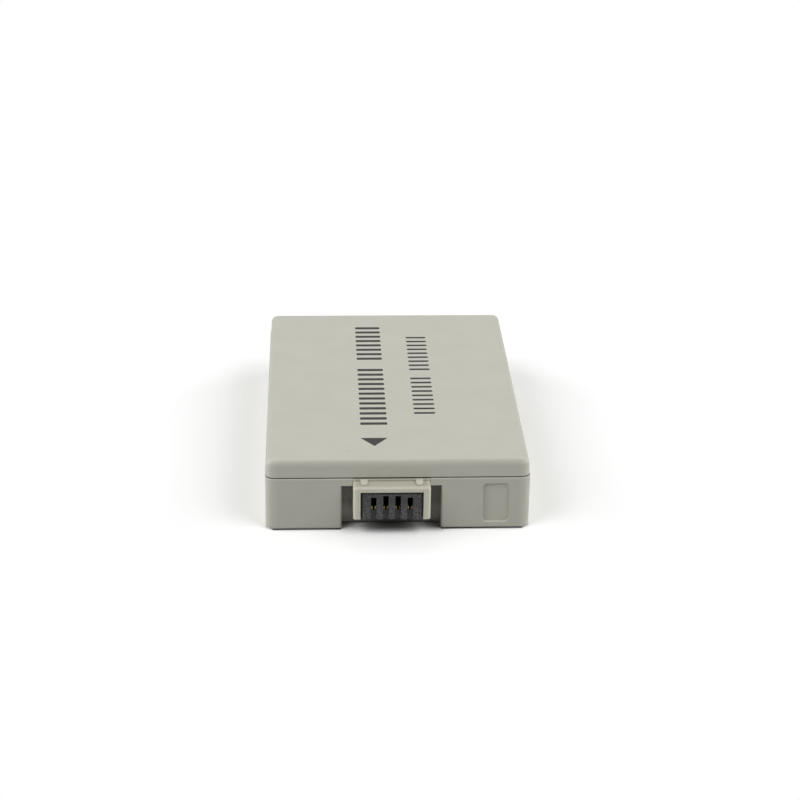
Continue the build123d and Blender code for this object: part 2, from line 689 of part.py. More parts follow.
export_step(end_insulator.part, "parts/end_insulator.step")

# Film between the cans
with BuildPart() as cell_separator:
    with BuildSketch(plan(separator_z)):
        with Locations((0, cell_middle_y)):
            Rectangle(cell_width - 2 * SEPARATOR_MARGIN, cell_length - 2 * SEPARATOR_MARGIN)
    extrude(amount=SEPARATOR_THICKNESS)
cell_separator.part.label = "cell_separator"
export_step(cell_separator.part, "parts/cell_separator.step")

# Tape that holds the lower can to the floor of the tray
with BuildPart() as floor_tape:
    with BuildSketch(plan(FLOOR)):
        with Locations((0, cell_middle_y)):
            Rectangle(cell_width - 2 * TAPE_MARGIN, cell_length - 2 * TAPE_MARGIN)
    extrude(amount=TAPE_THICKNESS)
floor_tape.part.label = "floor_tape"
export_step(floor_tape.part, "parts/floor_tape.step")

# Foam between the cans and the tail wall
with BuildPart() as tail_foam:
    with BuildSketch(upright(cell_back_y)):
        with Locations((0, (lower_cell_base_z + cells_top_z) / 2)):
            Rectangle(cell_width - 2 * FOAM_MARGIN, cells_top_z - lower_cell_base_z - 2 * FOAM_MARGIN)
    extrude(amount=FOAM_THICKNESS, dir=TAILWARD)
tail_foam.part.label = "tail_foam"
export_step(tail_foam.part, "parts/tail_foam.step")
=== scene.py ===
import math

import bpy
from mathutils import Matrix, Vector


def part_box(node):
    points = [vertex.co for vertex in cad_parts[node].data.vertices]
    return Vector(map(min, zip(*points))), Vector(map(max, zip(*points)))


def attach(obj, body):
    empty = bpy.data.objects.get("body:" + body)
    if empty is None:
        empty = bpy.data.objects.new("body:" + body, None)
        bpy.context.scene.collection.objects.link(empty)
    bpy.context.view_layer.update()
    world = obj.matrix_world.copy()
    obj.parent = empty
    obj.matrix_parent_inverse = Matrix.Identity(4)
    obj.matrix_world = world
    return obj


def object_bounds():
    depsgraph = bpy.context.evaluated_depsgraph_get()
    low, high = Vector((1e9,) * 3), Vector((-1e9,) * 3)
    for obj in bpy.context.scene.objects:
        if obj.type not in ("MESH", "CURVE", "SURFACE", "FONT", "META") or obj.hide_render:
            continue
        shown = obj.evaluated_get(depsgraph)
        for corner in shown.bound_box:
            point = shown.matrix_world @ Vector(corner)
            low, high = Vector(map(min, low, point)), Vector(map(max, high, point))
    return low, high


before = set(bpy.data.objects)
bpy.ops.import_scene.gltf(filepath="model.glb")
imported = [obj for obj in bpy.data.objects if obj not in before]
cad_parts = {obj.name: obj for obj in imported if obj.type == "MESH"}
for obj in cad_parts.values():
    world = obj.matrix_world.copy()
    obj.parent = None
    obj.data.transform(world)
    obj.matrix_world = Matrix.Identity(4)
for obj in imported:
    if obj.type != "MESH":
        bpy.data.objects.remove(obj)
cad_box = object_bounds()

# Lengths are in metres; MM turns millimetres into them
MM = 0.001
IMAGE_SIZE = 800
MIDDLE = (0.0, 0.0, 0.0)
UNSTRETCHED = (1.0, 1.0, 1.0)
WHITE = (1.0, 1.0, 1.0)

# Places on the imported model
NOTCH_DEPTH = 2.0 * MM
cover_low, cover_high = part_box("top_cover")
tray_low, tray_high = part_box("bottom_case")
connector_low, connector_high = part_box("terminal_frame")
top_z = cover_high[2]
front_y = cover_low[1]
seam_z = tray_high[2]
wall_y = tray_low[1]
notch_y = wall_y + NOTCH_DEPTH
crown_z = connector_high[2]
block_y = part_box("contact_block")[0][1]
connector_x = (connector_low[0] + connector_high[0]) / 2

# Ink on the cover: the arrow, from the cover's front edge and its middle line
INK_THICKNESS = 0.012 * MM
ARROW_X = -3.1 * MM
ARROW_TIP_Y = front_y + 4.85 * MM
ARROW_BASE_Y = front_y + 7.29 * MM
ARROW_WIDTH = 3.74 * MM

# Plain bars across the cover, in two rows: length and thickness of a bar, and its pitch
WIDE_ROW_X = -3.0 * MM
WIDE_BAR = (3.8 * MM, 0.75 * MM)
WIDE_PITCH = 1.63 * MM
NARROW_ROW_X = 4.33 * MM
NARROW_BAR = (3.05 * MM, 0.55 * MM)
NARROW_PITCH = 1.45 * MM
BAR_CORNER = 0.2 * MM
BAR_CORNER_STEPS = 3

# Small scuff on the cover
SCUFF_PLACE = (-7.0 * MM, front_y + 3.3 * MM, top_z)
SCUFF_REACH = (0.45 * MM, 0.32 * MM, 1.0 * MM)
SCUFF_SHADE = 0.75

# Painted shade and light fill a share of a box and fade out to its faces: a shade under 1 is painted shade,
# and over 1 is painted light
WHOLE_BATTERY = 60 * MM
# Painted shade along the seam's gap between cover and tray
SEAM_PAINTED_SHADE = dict(
    middle=(0.0, 0.0, seam_z + 0.05 * MM),
    reach=(WHOLE_BATTERY, WHOLE_BATTERY, 0.11 * MM),
    shade=0.3,
    filled=0.5,
)
# Painted contact shade on the tray's foot, darkest at the table
FOOT_PAINTED_SHADE = dict(
    middle=MIDDLE,
    reach=(WHOLE_BATTERY, WHOLE_BATTERY, 0.3 * MM),
    shade=0.35,
    filled=0.3,
)
# Painted shade on the cover's rounded front edge
FRONT_EDGE_PAINTED_SHADE = dict(
    middle=(0.0, front_y + 0.2 * MM, top_z - 0.3 * MM),
    reach=(WHOLE_BATTERY, 0.65 * MM, 0.55 * MM),
    shade=0.86,
    filled=0.2,
)
# Painted light on the case's rounded front corners
CORNER_PAINTED_LIGHT = [
    dict(
        middle=(corner_x, wall_y, 5 * MM),
        reach=(1.8 * MM, 1.8 * MM, 12 * MM),
        shade=1.11,
        filled=0.45,
    )
    for corner_x in (tray_low[0], tray_high[0])
]

# Painted shade in the notch: on its back wall, on the wall below the block, and at the right-hand end
NOTCH_PAINTED_SHADE = dict(
    middle=(connector_x, notch_y, 8.0 * MM),
    reach=(14 * MM, 1.9 * MM, 8.4 * MM),
    shade=0.36,
    filled=0.56,
)
BELOW_BLOCK_PAINTED_SHADE = dict(
    middle=(connector_x, notch_y, 1.0 * MM),
    reach=(6.0 * MM, 1.9 * MM, 3.0 * MM),
    shade=0.5,
    filled=0.85,
)
RIGHT_END_PAINTED_SHADE = dict(
    middle=(connector_x + 6.8 * MM, notch_y, 4.0 * MM),
    reach=(1.7 * MM, 1.9 * MM, 6.0 * MM),
    shade=0.8,
    filled=0.8,
)

# Painted shade on the connector: the frame's crown and ledge, and the block's slots and upper part; painted
# highlights on the frame's outer edges
HALF_FRAME = 5.25 * MM
CROWN_PAINTED_SHADE = dict(
    middle=(connector_x, notch_y, crown_z),
    reach=(8 * MM, 2.0 * MM, 0.2 * MM),
    shade=0.3,
    filled=0.95,
)
LEDGE_PAINTED_SHADE = dict(
    middle=(connector_x, wall_y - 0.8 * MM, crown_z - 0.3 * MM),
    reach=(8 * MM, 1.2 * MM, 0.12 * MM),
    shade=0.78,
    filled=0.7,
)
# Painted highlights on the frame's outer edges
FRAME_EDGE_PAINTED_HIGHLIGHTS = [
    dict(
        middle=(connector_x + offset, wall_y, crown_z),
        reach=(0.45 * MM, 8 * MM, 9 * MM),
        shade=1.2,
        filled=0.5,
    )
    for offset in (-HALF_FRAME, HALF_FRAME)
]
SLOT_PAINTED_SHADE = dict(
    middle=(connector_x, block_y + 3.15 * MM, 4.6 * MM),
    reach=(8 * MM, 3.0 * MM, 4.0 * MM),
    shade=0.29,
    filled=0.93,
)
BLOCK_TOP_PAINTED_SHADE = dict(
    middle=(connector_x, block_y, 7.5 * MM),
    reach=(WHOLE_BATTERY, WHOLE_BATTERY, 4.1 * MM),
    shade=0.6,
    filled=0.49,
)

# Parts on the board: how far metal reaches in from the ends, and the pitch of the small chips
LEG_REACH = 0.7 * MM
CAP_LENGTH = 0.3 * MM
CHIP_PITCH = 2.2 * MM
CHIP_HEIGHT = 1.6 * MM
FUSE_HEIGHT = 3.2 * MM

# White table: its colour for bouncing light and as seen, and the oval over which it turns plain white
TABLE_SIZE = 6.0
TABLE_GAP = 0.02 * MM
BOUNCE_COLOUR = (0.6, 0.6, 0.6)
SEEN_COLOUR = (1.22, 1.22, 1.22)
SHADE_REACH = (52 * MM, 74.3 * MM, 52 * MM)
WHITE_FROM = 0.423
WHITE_AT = 1.0

# Painted contact shadow close under the tray: the table is darker in two boxes that leave out the tray's
# round corners
UNDER_SHADE = 0.13
UNDER_FROM = 0.985
FRONT_MARGIN = 0.16 * MM
SIDE_MARGIN = 0.05 * MM
TRAY_CORNER = 0.8 * MM
ANY_HEIGHT = 1.0
FOOT_MIDDLE = [(low + high) / 2 for low, high in zip(tray_low, tray_high)]
FOOT_HALF = [(high - low) / 2 for low, high in zip(tray_low, tray_high)]
WIDE_FOOT = (FOOT_HALF[0] + SIDE_MARGIN, FOOT_HALF[1] - TRAY_CORNER, ANY_HEIGHT)
LONG_FOOT = (FOOT_HALF[0] - TRAY_CORNER, FOOT_HALF[1] + FRONT_MARGIN, ANY_HEIGHT)

# Light gets into the notch, and there the table has painted shadow only in ovals at the middle and the two
# ends
NOTCH_PLACE = (connector_x, wall_y, 0.0)
NOTCH_REACH = (6.9 * MM, 2.4 * MM, ANY_HEIGHT)
NOTCH_FULL_SHADE = 0.4
NOTCH_SHADES = [
    dict(
        middle=(connector_x - 6.6 * MM, notch_y, 0.0),
        reach=(2.2 * MM, 1.5 * MM, ANY_HEIGHT),
        shade=0.5,
    ),
    dict(
        middle=(connector_x, wall_y + 1.4 * MM, 0.0),
        reach=(7.5 * MM, 2.45 * MM, ANY_HEIGHT),
        shade=0.44,
    ),
    dict(
        middle=(connector_x + 6.2 * MM, wall_y + 1.8 * MM, 0.0),
        reach=(3.0 * MM, 2.6 * MM, ANY_HEIGHT),
        shade=0.32,
    ),
]

# Numbers of a Mix node's colour sockets
FIRST_COLOUR = 6
SECOND_COLOUR = 7
MIXED_COLOUR = 2


def deselect_all():
    """Leave edit mode and clear the selection, so that an operator acts on the new piece alone."""
    if bpy.context.object and bpy.context.object.mode != "OBJECT":
        bpy.ops.object.mode_set(mode="OBJECT")
    bpy.ops.object.select_all(action="DESELECT")


def settle(piece):
    """Put the piece's place and size into its mesh, so that its object sits at the origin."""
    deselect_all()
    piece.select_set(True)
    bpy.context.view_layer.objects.active = piece
    bpy.ops.object.transform_apply(location=True, rotation=True, scale=True)


def plain_material(name):
    """New node material with its shader: (material, node tree, Principled shader)."""
    material = bpy.data.materials.new(name)
    material.use_nodes = True
    tree = material.node_tree
    return material, tree, tree.nodes["Principled BSDF"]


def placed(tree, middle=MIDDLE, stretch=UNSTRETCHED):
    """The object's own coordinates, counted from middle and multiplied by stretch."""
    place = tree.nodes.new("ShaderNodeTexCoord")
    mapping = tree.nodes.new("ShaderNodeMapping")
    mapping.inputs["Location"].default_value = [-start * factor for start, factor in zip(middle, stretch)]
    mapping.inputs["Scale"].default_value = stretch
    tree.links.new(place.outputs["Object"], mapping.inputs["Vector"])
    return mapping.outputs["Vector"]


def noise(tree, scale, detail=2.0, stretch=UNSTRETCHED):
    """Noise over the object; scale is in features per metre, fewer where stretch is under 1."""
    texture = tree.nodes.new("ShaderNodeTexNoise")
    texture.inputs["Scale"].default_value = scale
    texture.inputs["Detail"].default_value = detail
    tree.links.new(placed(tree, stretch=stretch), texture.inputs["Vector"])
    return texture.outputs["Fac"]


def arithmetic(tree, operation, *values):
    """One step of arithmetic; each value is a number or another node's output."""
    step = tree.nodes.new("ShaderNodeMath")
    step.operation = operation
    for socket, value in zip(step.inputs, values):
        if isinstance(value, float):
            socket.default_value = value
        else:
            tree.links.new(value, socket)
    return step.outputs["Value"]


def oval_distance(tree, middle, reach):
    """0 at middle and 1 on an oval round it, which is reach away along x, y and z."""
    length = tree.nodes.new("ShaderNodeVectorMath")
    length.operation = "LENGTH"
    tree.links.new(placed(tree, middle, [1 / size for size in reach]), length.inputs[0])
    return length.outputs["Value"]


def box_distance(tree, middle, reach):
    """0 at middle and 1 on the faces of a box round it, which are reach away along x, y and z."""
    away = tree.nodes.new("ShaderNodeVectorMath")
    away.operation = "ABSOLUTE"
    tree.links.new(placed(tree, middle, [1 / size for size in reach]), away.inputs[0])
    split = tree.nodes.new("ShaderNodeSeparateXYZ")
    tree.links.new(away.outputs["Vector"], split.inputs["Vector"])
    across = arithmetic(tree, "MAXIMUM", split.outputs["X"], split.outputs["Y"])
    return arithmetic(tree, "MAXIMUM", across, split.outputs["Z"])


def shaded(colour, factor):
    """The colour made lighter or darker."""
    return [channel * factor for channel in colour]


def graded(tree, value, low, high, low_at=0.35, high_at=0.65):
    """Colour ramp between two colours, driven by value."""
    ramp = tree.nodes.new("ShaderNodeValToRGB")
    ramp.color_ramp.elements[0].position = low_at
    ramp.color_ramp.elements[0].color = (*low, 1.0)
    ramp.color_ramp.elements[1].position = high_at
    ramp.color_ramp.elements[1].color = (*high, 1.0)
    tree.links.new(value, ramp.inputs["Fac"])
    return ramp.outputs["Color"]


def blended(tree, share, first, second):
    """Mix of two colours: all of the second where share is 1."""
    mix = tree.nodes.new("ShaderNodeMix")
    mix.data_type = "RGBA"
    tree.links.new(share, mix.inputs["Factor"])
    tree.links.new(first, mix.inputs[FIRST_COLOUR])
    tree.links.new(second, mix.inputs[SECOND_COLOUR])
    return mix.outputs[MIXED_COLOUR]


def multiplied(tree, first, second):
    """Product of two colours."""
    product = tree.nodes.new("ShaderNodeMix")
    product.data_type = "RGBA"
    product.blend_type = "MULTIPLY"
    product.inputs["Factor"].default_value = 1.0
    tree.links.new(first, product.inputs[FIRST_COLOUR])
    tree.links.new(second, product.inputs[SECOND_COLOUR])
    return product.outputs[MIXED_COLOUR]


def roughened(tree, shader, value, low, high):
    """Roughness that varies between two values with a noise."""
    spread = tree.nodes.new("ShaderNodeMapRange")
    spread.inputs["To Min"].default_value = low
    spread.inputs["To Max"].default_value = high
    tree.links.new(value, spread.inputs["Value"])
    tree.links.new(spread.outputs["Result"], shader.inputs["Roughness"])


def bumped(tree, shader, height, strength, depth):
    """Fine relief on the surface; depth is in metres."""
    bump = tree.nodes.new("ShaderNodeBump")
    bump.inputs["Strength"].default_value = strength
    bump.inputs["Distance"].default_value = depth
    tree.links.new(height, bump.inputs["Height"])
    tree.links.new(bump.outputs["Normal"], shader.inputs["Normal"])


def moulded_plastic(name, colour, spread, grain, roughness):
    """Moulded plastic: faint mottling, spark-eroded grain and uneven gloss."""
    material, tree, shader = plain_material(name)
    mottling = noise(tree, scale=260.0, detail=4.0)
    tint = graded(tree, mottling, shaded(colour, 1 - spread), shaded(colour, 1 + spread))
    tree.links.new(tint, shader.inputs["Base Color"])
    fine = noise(tree, scale=grain, detail=3.0)
    roughened(tree, shader, fine, low=roughness - 0.06, high=roughness + 0.06)
    bumped(tree, shader, fine, strength=0.25, depth=0.012 * MM)
    return material


def dimmed(material, amount, shade, full_at, none_at=1.0):
    """Multiply a plastic's colour by shade where amount is up to full_at, and by 1 from none_at."""
    tree = material.node_tree
    base = tree.nodes["Principled BSDF"].inputs["Base Color"]
    clean = base.links[0].from_socket
    dim = graded(tree, amount, shaded(WHITE, shade), WHITE, low_at=full_at, high_at=none_at)
    tree.links.new(multiplied(tree, clean, dim), base)
    return material


def scuffed(material):
    """Add a small dull scuff with a ragged edge to a plastic."""
    tree = material.node_tree
    away = oval_distance(tree, SCUFF_PLACE, SCUFF_REACH)
    ragged = arithmetic(tree, "ADD", away, noise(tree, scale=3000.0))
    return dimmed(material, ragged, SCUFF_SHADE, full_at=0.7)


def paint_shade_and_light(material, marks):
    """Add boxes of painted shade or painted light to a plastic."""
    for mark in marks:
        away = box_distance(material.node_tree, mark["middle"], mark["reach"])
        dimmed(material, away, mark["shade"], full_at=mark["filled"])
    return material


def filled_plastic(name, dark, light):
    """Black glass-filled plastic: pale fibre ends scattered over a dark ground."""
    material, tree, shader = plain_material(name)
    specks = noise(tree, scale=5600.0, detail=1.0)
    tint = graded(tree, specks, dark, light, low_at=0.45, high_at=0.62)
    tree.links.new(tint, shader.inputs["Base Color"])
    roughened(tree, shader, specks, low=0.42, high=0.62)
    bumped(tree, shader, specks, strength=0.5, depth=0.02 * MM)
    return material


def metal(name, colour, roughness, grain, stretch=UNSTRETCHED, dullest=0.9):
    """Plated, drawn or rolled metal; its polish runs along the axis that stretch makes small."""
    material, tree, shader = plain_material(name)
    polish = noise(tree, scale=grain, detail=4.0, stretch=stretch)
    tint = graded(tree, polish, shaded(colour, dullest), colour)
    tree.links.new(tint, shader.inputs["Base Color"])
    shader.inputs["Metallic"].default_value = 1.0
    roughened(tree, shader, polish, low=roughness - 0.08, high=roughness + 0.08)
    bumped(tree, shader, polish, strength=0.15, depth=0.006 * MM)
    return material


def solder_mask(name, dark, light):
    """Green lacquer over woven glass: the weave just shows through the gloss."""
    material, tree, shader = plain_material(name)
    threads = []
    for direction in ("X", "Z"):
        wave = tree.nodes.new("ShaderNodeTexWave")
        wave.bands_direction = direction
        wave.inputs["Scale"].default_value = 785.0
        wave.inputs["Distortion"].default_value = 0.4
        tree.links.new(placed(tree), wave.inputs["Vector"])
        threads.append(wave.outputs["Fac"])
    weave = arithmetic(tree, "MULTIPLY", *threads)
    tint = graded(tree, weave, dark, light, low_at=0.1, high_at=0.9)
    tree.links.new(tint, shader.inputs["Base Color"])
    roughened(tree, shader, noise(tree, scale=1500.0), low=0.22, high=0.34)
    bumped(tree, shader, weave, strength=0.2, depth=0.01 * MM)
    return material


def ends_of(tree, node_name, height, end, pitch):
    """1 on the upper and lower ends of each part in a column of them, and 0 on the parts' middles."""
    low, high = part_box(node_name)
    split = tree.nodes.new("ShaderNodeSeparateXYZ")
    tree.links.new(placed(tree, (0.0, 0.0, (low[2] + high[2]) / 2)), split.inputs["Vector"])
    from_nearest = arithmetic(tree, "WRAP", split.outputs["Z"], pitch / 2, -pitch / 2)
    away = arithmetic(tree, "ABSOLUTE", from_nearest)
    return arithmetic(tree, "GREATER_THAN", away, height / 2 - end)


def tinned_part(name, node_name, colour, height, end, pitch):
    """Part on the board: a matt body, and tinned metal at its ends."""
    material, tree, shader = plain_material(name)
    ends = ends_of(tree, node_name, height, end, pitch)
    grain = noise(tree, scale=6000.0, detail=3.0)
    body = graded(tree, grain, shaded(colour, 0.85), shaded(colour, 1.15))
    tin = graded(tree, grain, (0.58, 0.58, 0.56), (0.7, 0.7, 0.68))
    tree.links.new(blended(tree, ends, body, tin), shader.inputs["Base Color"])
    tree.links.new(ends, shader.inputs["Metallic"])
    roughened(tree, shader, grain, low=0.36, high=0.52)
    bumped(tree, shader, grain, strength=0.2, depth=0.008 * MM)
    return material


def pressed_card(name, dark, light):
    """Insulating card: short fibres that lie across each other."""
    material, tree, shader = plain_material(name)
    along = noise(tree, scale=2600.0, detail=3.0, stretch=(0.12, 1.0, 1.0))
    across = noise(tree, scale=2600.0, detail=3.0, stretch=(1.0, 1.0, 0.12))
    fibres = arithmetic(tree, "MAXIMUM", along, across)
    tint = graded(tree, fibres, dark, light, low_at=0.4, high_at=0.75)
    tree.links.new(tint, shader.inputs["Base Color"])
    roughened(tree, shader, fibres, low=0.7, high=0.9)
    bumped(tree, shader, fibres, strength=0.4, depth=0.015 * MM)
    return material


def thin_film(name, dark, light):
    """Amber insulating film, slightly wavy and glossy."""
    material, tree, shader = plain_material(name)
    waves = noise(tree, scale=180.0, detail=3.0, stretch=(1.0, 0.4, 1.0))
    tree.links.new(graded(tree, waves, dark, light), shader.inputs["Base Color"])
    roughened(tree, shader, noise(tree, scale=900.0), low=0.18, high=0.3)
    bumped(tree, shader, waves, strength=0.3, depth=0.05 * MM)
    return material


def cell_foam(name, dark, light):
    """Closed-cell foam: small round cells with thin walls."""
    material, tree, shader = plain_material(name)
    cells = tree.nodes.new("ShaderNodeTexVoronoi")
    cells.inputs["Scale"].default_value = 3200.0
    tree.links.new(placed(tree), cells.inputs["Vector"])
    walls = cells.outputs["Distance"]
    tint = graded(tree, walls, dark, light, low_at=0.2, high_at=0.7)
    tree.links.new(tint, shader.inputs["Base Color"])
    roughened(tree, shader, walls, low=0.85, high=0.95)
    bumped(tree, shader, walls, strength=0.6, depth=0.05 * MM)
    return material


def dress(node_names, material):
    """Give one finish to some of the model's own pieces."""
    for name in node_names:
        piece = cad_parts[name]
        piece.data.materials.clear()
        piece.data.materials.append(material)


# Case
CASE_FINISH = dict(colour=(0.53, 0.525, 0.455), spread=0.016, grain=5200.0, roughness=0.5)
# Painted shade in the seam, in the notch, at the foot and on the cover's front edge, and painted light on
# the front corners
CASE_PAINTED_LIGHT_AND_SHADE = [SEAM_PAINTED_SHADE, *CORNER_PAINTED_LIGHT]
TRAY_PAINTED_LIGHT_AND_SHADE = [*CASE_PAINTED_LIGHT_AND_SHADE, NOTCH_PAINTED_SHADE, BELOW_BLOCK_PAINTED_SHADE, RIGHT_END_PAINTED_SHADE, FOOT_PAINTED_SHADE]
case_plastic = paint_shade_and_light(moulded_plastic("case_plastic", **CASE_FINISH), TRAY_PAINTED_LIGHT_AND_SHADE)
dress(["bottom_case"], case_plastic)
cover_plastic = scuffed(moulded_plastic("cover_plastic", **CASE_FINISH))
dress(["top_cover"], paint_shade_and_light(cover_plastic, [*CASE_PAINTED_LIGHT_AND_SHADE, FRONT_EDGE_PAINTED_SHADE]))

# Connector
frame_plastic = moulded_plastic(
    "frame_plastic",
    colour=(0.66, 0.645, 0.535),
    spread=0.015,
    grain=4200.0,
    roughness=0.42,
)
# The frame gets painted shade on its crown and ledge and painted highlights on its outer edges
dress(["terminal_frame"], paint_shade_and_light(frame_plastic, [CROWN_PAINTED_SHADE, LEDGE_PAINTED_SHADE, *FRAME_EDGE_PAINTED_HIGHLIGHTS]))
block_plastic = filled_plastic("block_plastic", dark=(0.003, 0.003, 0.0032), light=(0.14, 0.143, 0.147))
# The block gets painted shade in its slots and on its upper part
dress(["contact_block"], paint_shade_and_light(block_plastic, [SLOT_PAINTED_SHADE, BLOCK_TOP_PAINTED_SHADE]))
CONTACTS = ["positive_contact", "temperature_contact", "identity_contact", "negative_contact"]
dress(CONTACTS, metal("contact_gold", (0.66, 0.52, 0.25), roughness=0.3, grain=1100.0, dullest=0.3))

# Board and its parts
dress(["circuit_board"], solder_mask("board_laminate", dark=(0.015, 0.12, 0.05), light=(0.04, 0.21, 0.09)))
dress(["solder_joints"], metal("solder", (0.62, 0.62, 0.60), roughness=0.36, grain=2200.0))
BLACK_MOULDING = (0.028, 0.028, 0.03)
for chip in ("protection_chip", "switch_transistors"):
    chip_low, chip_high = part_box(chip)
    height = chip_high[2] - chip_low[2]
    finish = tinned_part(f"{chip}_moulding", chip, BLACK_MOULDING, height, LEG_REACH, pitch=2 * height)
    dress([chip], finish)
SMALL_CHIPS = {
    "thermistor": (0.05, 0.09, 0.07),
    "chip_resistors": (0.03, 0.03, 0.032),
    "chip_capacitors": (0.36, 0.25, 0.15),
}
for chip, colour in SMALL_CHIPS.items():
    dress([chip], tinned_part(f"{chip}_ceramic", chip, colour, CHIP_HEIGHT, CAP_LENGTH, CHIP_PITCH))
fuse_ceramic = tinned_part(
    "chip_fuse_ceramic",
    "chip_fuse",
    colour=(0.6, 0.58, 0.5),
    height=FUSE_HEIGHT,
    end=CAP_LENGTH,
    pitch=2 * FUSE_HEIGHT,
)
dress(["chip_fuse"], fuse_ceramic)

# Cells and what lies between them and the case
can_aluminium = metal(
    "can_aluminium",
    (0.75, 0.76, 0.77),
    roughness=0.34,
    grain=1600.0,
    stretch=(1.0, 0.03, 1.0),
)
dress(["lower_cell", "upper_cell"], can_aluminium)
gasket_plastic = moulded_plastic(
    "gasket_plastic",
    colour=(0.1, 0.1, 0.11),
    spread=0.08,
    grain=4000.0,
    roughness=0.45,
)
dress(["lower_cell_gasket", "upper_cell_gasket"], gasket_plastic)
STRIPS = ["lower_cell_terminal", "upper_cell_terminal", "series_link", "positive_tab", "negative_tab"]
dress(STRIPS, metal("nickel", (0.60, 0.57, 0.52), roughness=0.32, grain=2400.0, stretch=(0.05, 1.0, 1.0)))
dress(["end_insulator"], pressed_card("insulating_card", dark=(0.46, 0.52, 0.42), light=(0.62, 0.66, 0.56)))
amber_film = thin_film("film", dark=(0.52, 0.43, 0.18), light=(0.66, 0.58, 0.30))
dress(["cell_separator", "floor_tape"], amber_film)
dress(["tail_foam"], cell_foam("foam", dark=(0.035, 0.035, 0.038), light=(0.085, 0.085, 0.09)))


def ink(name, dark, light):
    """Matt grey printing ink, a little thin in places."""
    material, tree, shader = plain_material(name)
    cover = noise(tree, scale=1800.0, detail=3.0)
    tree.links.new(graded(tree, cover, dark, light), shader.inputs["Base Color"])
    shader.inputs["Specular IOR Level"].default_value = 0.2
    roughened(tree, shader, cover, low=0.62, high=0.76)
    return material


print_ink = ink("print_ink", dark=(0.035, 0.035, 0.033), light=(0.055, 0.055, 0.052))


def printed(piece):
    """Raise a flat mark by the thickness of the ink, and give it the ink's finish."""
    settle(piece)
    bpy.ops.object.mode_set(mode="EDIT")
    bpy.ops.mesh.select_all(action="SELECT")
    bpy.ops.mesh.extrude_region_move(TRANSFORM_OT_translate={"value": (0.0, 0.0, INK_THICKNESS)})
    bpy.ops.mesh.select_all(action="SELECT")
    bpy.ops.mesh.normals_make_consistent(inside=False)
    bpy.ops.object.mode_set(mode="OBJECT")
    piece.data.materials.append(print_ink)
    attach(piece, "root")


def arrow_mark():
    """Printed triangle that points to the connector."""
    deselect_all()
    bpy.ops.mesh.primitive_circle_add(
        vertices=3,
        radius=1.0,
        fill_type="NGON",
        location=(ARROW_X, 0.0, top_z),
    )
    piece = bpy.context.object
    piece.name = "arrow_mark"
    corners = [
        (0.0, ARROW_TIP_Y),
        (-ARROW_WIDTH / 2, ARROW_BASE_Y),
        (ARROW_WIDTH / 2, ARROW_BASE_Y),
    ]
    for vertex, (x, y) in zip(piece.data.vertices, corners):
        vertex.co = (x, y, 0.0)
    printed(piece)


arrow_mark()


def bar_group(name, x, bar, pitch, first_y, count):
    """Printed group of equal bars with rounded corners, one behind the other from first_y."""
    deselect_all()
    bpy.ops.mesh.primitive_plane_add(size=1.0, location=(x, first_y + bar[1] / 2, top_z))
    piece = bpy.context.object
    piece.name = name
    piece.scale = (*bar, 1.0)
    settle(piece)
    bpy.ops.object.mode_set(mode="EDIT")
    bpy.ops.mesh.select_all(action="SELECT")
    bpy.ops.mesh.bevel(offset=BAR_CORNER, segments=BAR_CORNER_STEPS, affect="VERTICES")
    bpy.ops.object.mode_set(mode="OBJECT")
    row = piece.modifiers.new("row", "ARRAY")
    row.count = count
    row.use_relative_offset = False
    row.use_constant_offset = True
    row.constant_offset_displace = (0.0, pitch, 0.0)
    bpy.ops.object.modifier_apply(modifier=row.name)
    printed(piece)


WIDE_ROW = (WIDE_ROW_X, WIDE_BAR, WIDE_PITCH)
NARROW_ROW = (NARROW_ROW_X, NARROW_BAR, NARROW_PITCH)
bar_group("wide_bars_front", *WIDE_ROW, first_y=front_y + 11.4 * MM, count=12)
bar_group("wide_bars_back", *WIDE_ROW, first_y=front_y + 33.4 * MM, count=8)
bar_group("narrow_bars_front", *NARROW_ROW, first_y=front_y + 14.8 * MM, count=9)
bar_group("narrow_bars_back", *NARROW_ROW, first_y=front_y + 29.6 * MM, count=9)


def mixed_shader(tree, share, first, second):
    """Mix of two shaders: all of the second where share is 1."""
    mix = tree.nodes.new("ShaderNodeMixShader")
    tree.links.new(share, mix.inputs["Fac"])
    tree.links.new(first, mix.inputs[1])
    tree.links.new(second, mix.inputs[2])
    return mix.outputs["Shader"]


def seen_rays(tree):
    """1 for rays from the camera, and for those by way of gloss or glass; 0 for light that bounces."""
    path = tree.nodes.new("ShaderNodeLightPath")
    seen = path.outputs["Is Camera Ray"]
    for other in ("Is Glossy Ray", "Is Transmission Ray"):
        seen = arithmetic(tree, "MAXIMUM", seen, path.outputs[other])
    return seen


def table_colour(tree):
    """The table's colour as seen, with painted shadow under the tray and in ovals in the notch."""
    wide_foot = box_distance(tree, FOOT_MIDDLE, WIDE_FOOT)
    long_foot = box_distance(tree, FOOT_MIDDLE, LONG_FOOT)
    under = arithmetic(tree, "MINIMUM", wide_foot, long_foot)
    in_notch = arithmetic(tree, "LESS_THAN", box_distance(tree, NOTCH_PLACE, NOTCH_REACH), 1.0)
    under = arithmetic(tree, "MAXIMUM", under, in_notch)
    darkest = shaded(SEEN_COLOUR, UNDER_SHADE)
    colour = graded(tree, under, darkest, SEEN_COLOUR, low_at=UNDER_FROM, high_at=1.0)
    for oval in NOTCH_SHADES:
        away = oval_distance(tree, oval["middle"], oval["reach"])
        darkest = shaded(WHITE, oval["shade"])
        dim = graded(tree, away, darkest, WHITE, low_at=NOTCH_FULL_SHADE, high_at=1.0)
        colour = multiplied(tree, colour, dim)
    return colour


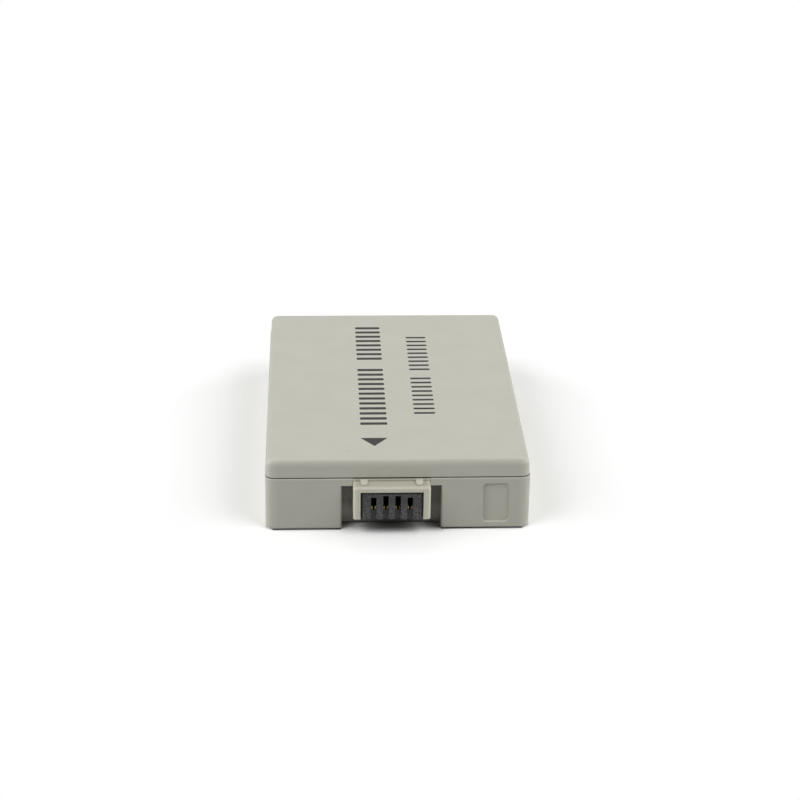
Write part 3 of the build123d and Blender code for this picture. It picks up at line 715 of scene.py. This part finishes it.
def table_top():
    """White table: its shade shows round the battery, and it turns plain white further out."""
    deselect_all()
    bpy.ops.mesh.primitive_plane_add(size=TABLE_SIZE, location=(0.0, 0.0, cad_box[0][2] - TABLE_GAP))
    table = bpy.context.object
    table.name = "table_top"
    material, tree, shader = plain_material("white_table")
    tree.nodes.remove(shader)
    seen = seen_rays(tree)
    bounce_paper = tree.nodes.new("ShaderNodeBsdfDiffuse")
    bounce_paper.inputs["Color"].default_value = (*BOUNCE_COLOUR, 1.0)
    seen_paper = tree.nodes.new("ShaderNodeBsdfDiffuse")
    tree.links.new(table_colour(tree), seen_paper.inputs["Color"])
    paper = mixed_shader(tree, seen, bounce_paper.outputs["BSDF"], seen_paper.outputs["BSDF"])
    fade = tree.nodes.new("ShaderNodeMapRange")
    fade.interpolation_type = "SMOOTHSTEP"
    fade.inputs["From Min"].default_value = WHITE_FROM
    fade.inputs["From Max"].default_value = WHITE_AT
    tree.links.new(oval_distance(tree, MIDDLE, SHADE_REACH), fade.inputs["Value"])
    share = arithmetic(tree, "MULTIPLY", fade.outputs["Result"], seen)
    white = tree.nodes.new("ShaderNodeEmission")
    surface = mixed_shader(tree, share, paper, white.outputs["Emission"])
    tree.links.new(surface, tree.nodes["Material Output"].inputs["Surface"])
    table.data.materials.append(material)


table_top()


def softbox(name, place, size, energy):
    """Square area light at place, turned to the middle of the battery's underside."""
    lamp = bpy.data.lights.new(name, "AREA")
    lamp.shape = "SQUARE"
    lamp.size = size
    lamp.energy = energy
    holder = bpy.data.objects.new(name, lamp)
    holder.location = place
    holder.rotation_euler = (Vector(MIDDLE) - Vector(place)).to_track_quat("-Z", "Y").to_euler()
    bpy.context.scene.collection.objects.link(holder)


softbox("back_softbox", place=(0.0, 0.6, 0.5), size=0.9, energy=1.0)
for side, word in ((-1, "left"), (1, "right")):
    softbox(f"{word}_front_softbox", place=(side * 0.45, -0.3, 0.57), size=0.5, energy=2.65)
    softbox(f"{word}_side_softbox", place=(side * 0.68, 0.18, 0.25), size=0.5, energy=2.4)


def studio_world():
    """White surround that shows in the background and in gloss, and adds no light of its own."""
    world = bpy.data.worlds.new("studio")
    bpy.context.scene.world = world
    world.use_nodes = True
    tree = world.node_tree
    background = tree.nodes["Background"]
    background.inputs["Color"].default_value = (*WHITE, 1.0)
    tree.links.new(seen_rays(tree), background.inputs["Strength"])


studio_world()

# Camera, as fitted to the photograph's edges; its angles are in radians
EYE = Vector((-11.596 * MM, -263.547 * MM, 134.502 * MM))
TILT_DOWN = 0.44747
TURN_LEFT = -0.04874
ROLL = 0.01486
FOCAL_PIXELS = 1993.82
SENSOR_WIDTH = 36.0
NEAREST = 0.01
FURTHEST = 20.0


def photo_camera():
    """Camera at the photograph's place and angle."""
    lens = bpy.data.cameras.new("photo_camera")
    lens.sensor_width = SENSOR_WIDTH
    lens.lens = FOCAL_PIXELS / IMAGE_SIZE * SENSOR_WIDTH
    lens.clip_start = NEAREST
    lens.clip_end = FURTHEST
    right = Vector((math.cos(TURN_LEFT), math.sin(TURN_LEFT), 0.0))
    forward = Vector(
        (
            -math.sin(TURN_LEFT) * math.cos(TILT_DOWN),
            math.cos(TURN_LEFT) * math.cos(TILT_DOWN),
            -math.sin(TILT_DOWN),
        )
    )
    up = right.cross(forward)
    across = math.cos(ROLL) * right + math.sin(ROLL) * up
    upward = math.cos(ROLL) * up - math.sin(ROLL) * right
    camera = bpy.data.objects.new("photo_camera", lens)
    turn = Matrix((across, upward, -forward)).transposed().to_4x4()
    camera.matrix_world = Matrix.Translation(EYE) @ turn
    bpy.context.scene.collection.objects.link(camera)
    bpy.context.scene.camera = camera


photo_camera()
bpy.context.scene.view_settings.view_transform = "Standard"
